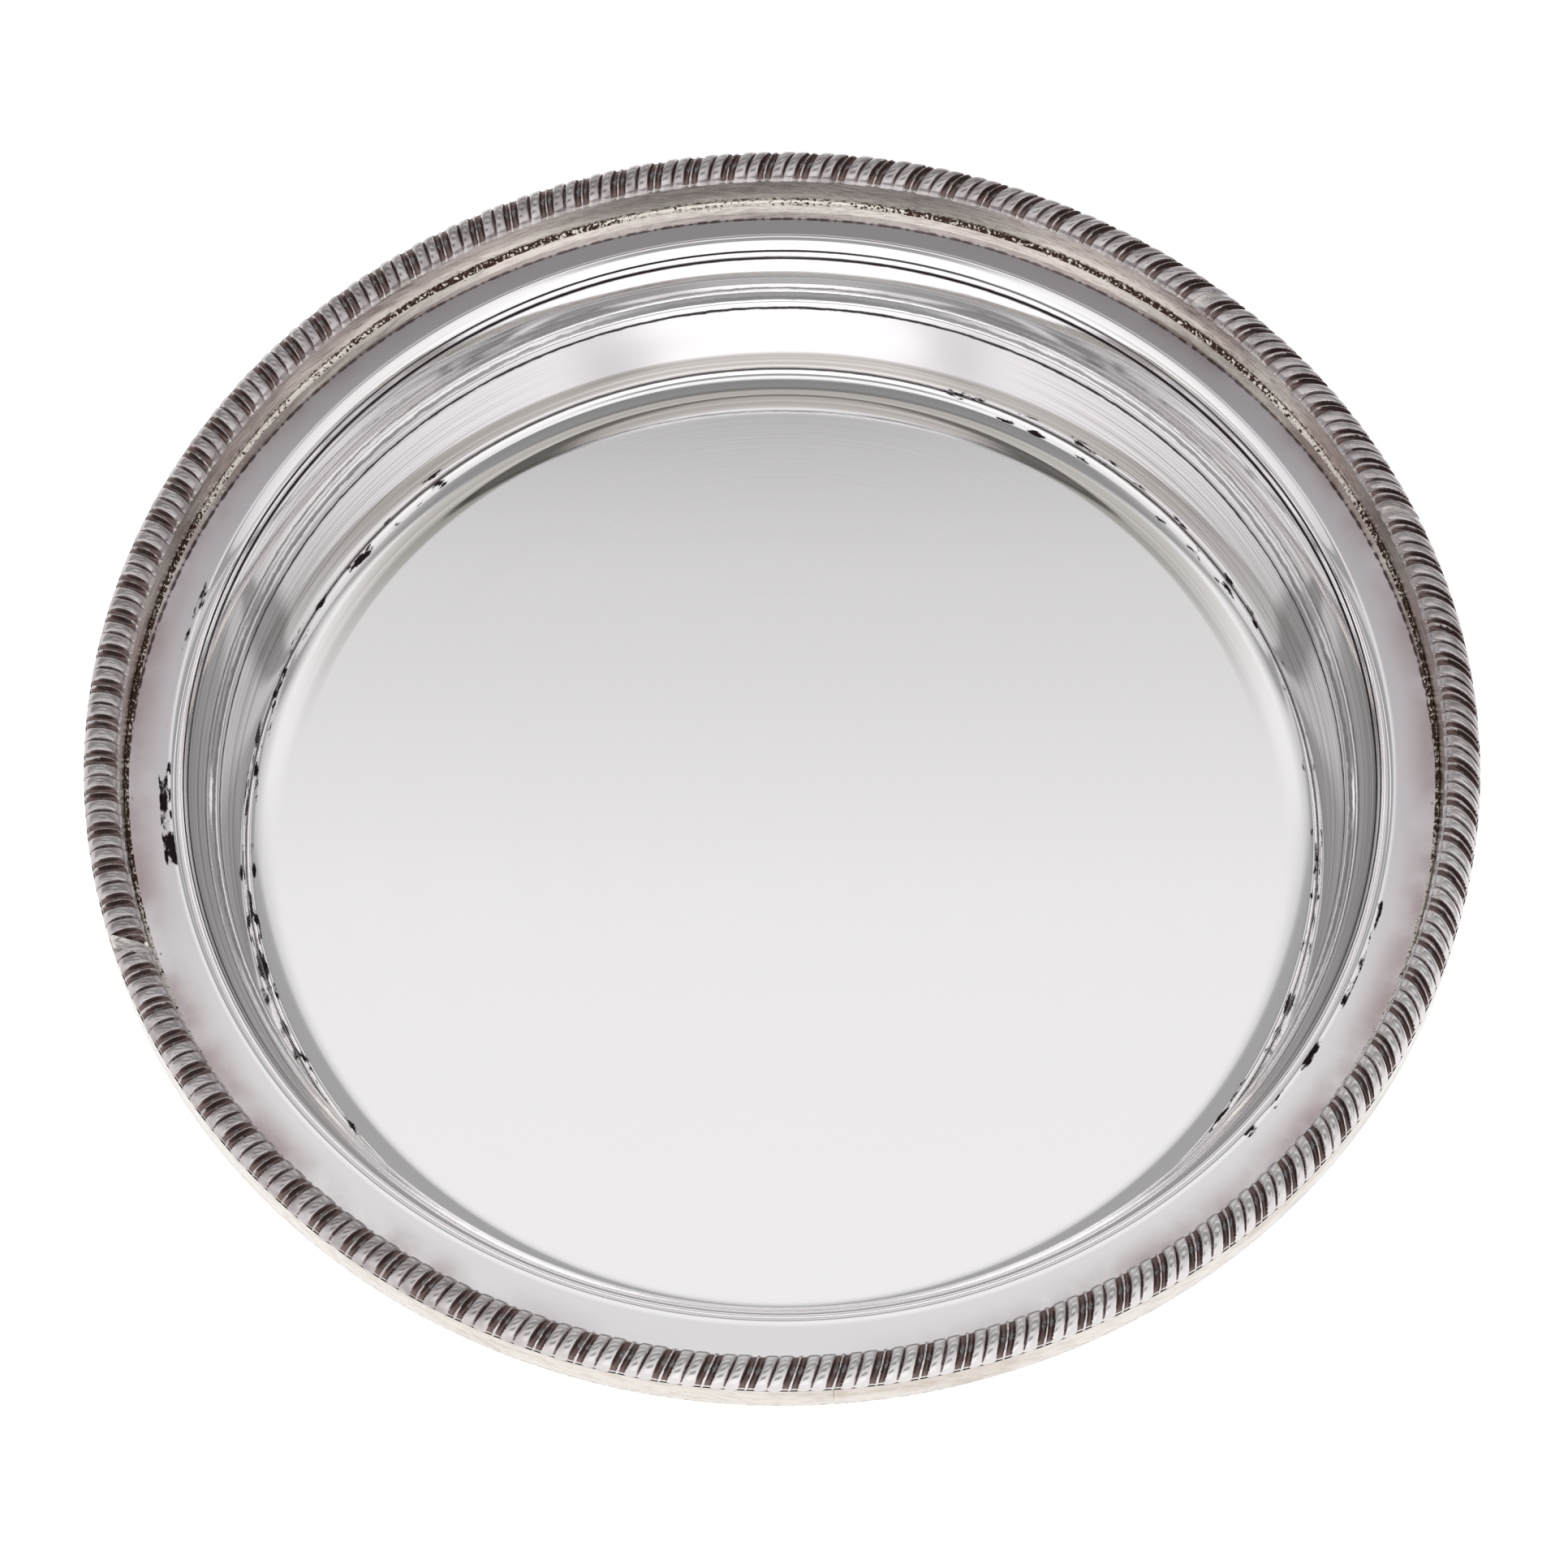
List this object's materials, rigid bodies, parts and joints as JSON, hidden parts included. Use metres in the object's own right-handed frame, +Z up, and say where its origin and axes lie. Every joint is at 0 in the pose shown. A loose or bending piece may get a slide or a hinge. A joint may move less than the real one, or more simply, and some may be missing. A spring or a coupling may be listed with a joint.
{
  "type": "offering plate",
  "caption": "Deep round silver-plated offering dish with a stepped wall, a flat flange and a raised border of slanted gadroon lobes, used to collect gifts in a church.",
  "frame": {"origin": "centre of the flat underside of the dish, on the surface it stands on", "axes": "+Z is up, the dish's own axis; -Y is the near side of the plate, and +X is to the right seen from there. The butt joint of the outer collar is 4 degrees to the right of -Y"},
  "size_m": [0.254, 0.254, 0.0426],
  "materials": {
    "polished_plate": "polished silver plate over spun metal sheet, brown-black tarnish in the bends",
    "streaked_plate": "streaked silver plate with yellowish tarnish",
    "satin_plate": "satin silver plate with faint wiping marks",
    "brown_solder": "granular tarnished solder",
    "stamped_plate": "stamped silver-plated strip, bright on the lobes and dark in the recesses",
    "grey_solder": "dull soft solder",
    "bright_solder": "dressed soft solder"
  },
  "bodies": {
    "root": {"dish_body": "polished_plate", "inner_collar": "streaked_plate", "outer_collar": "satin_plate", "inner_seam_solder": "brown_solder", "gadroon_strip_long": "stamped_plate", "gadroon_strip_middle": "stamped_plate", "gadroon_strip_short": "stamped_plate", "strip_filling_long": "grey_solder", "strip_filling_middle": "grey_solder", "strip_filling_short": "grey_solder", "joint_solder_closing": "bright_solder", "joint_solder_right": "bright_solder", "joint_solder_left": "bright_solder"}
  },
  "joints": []
}
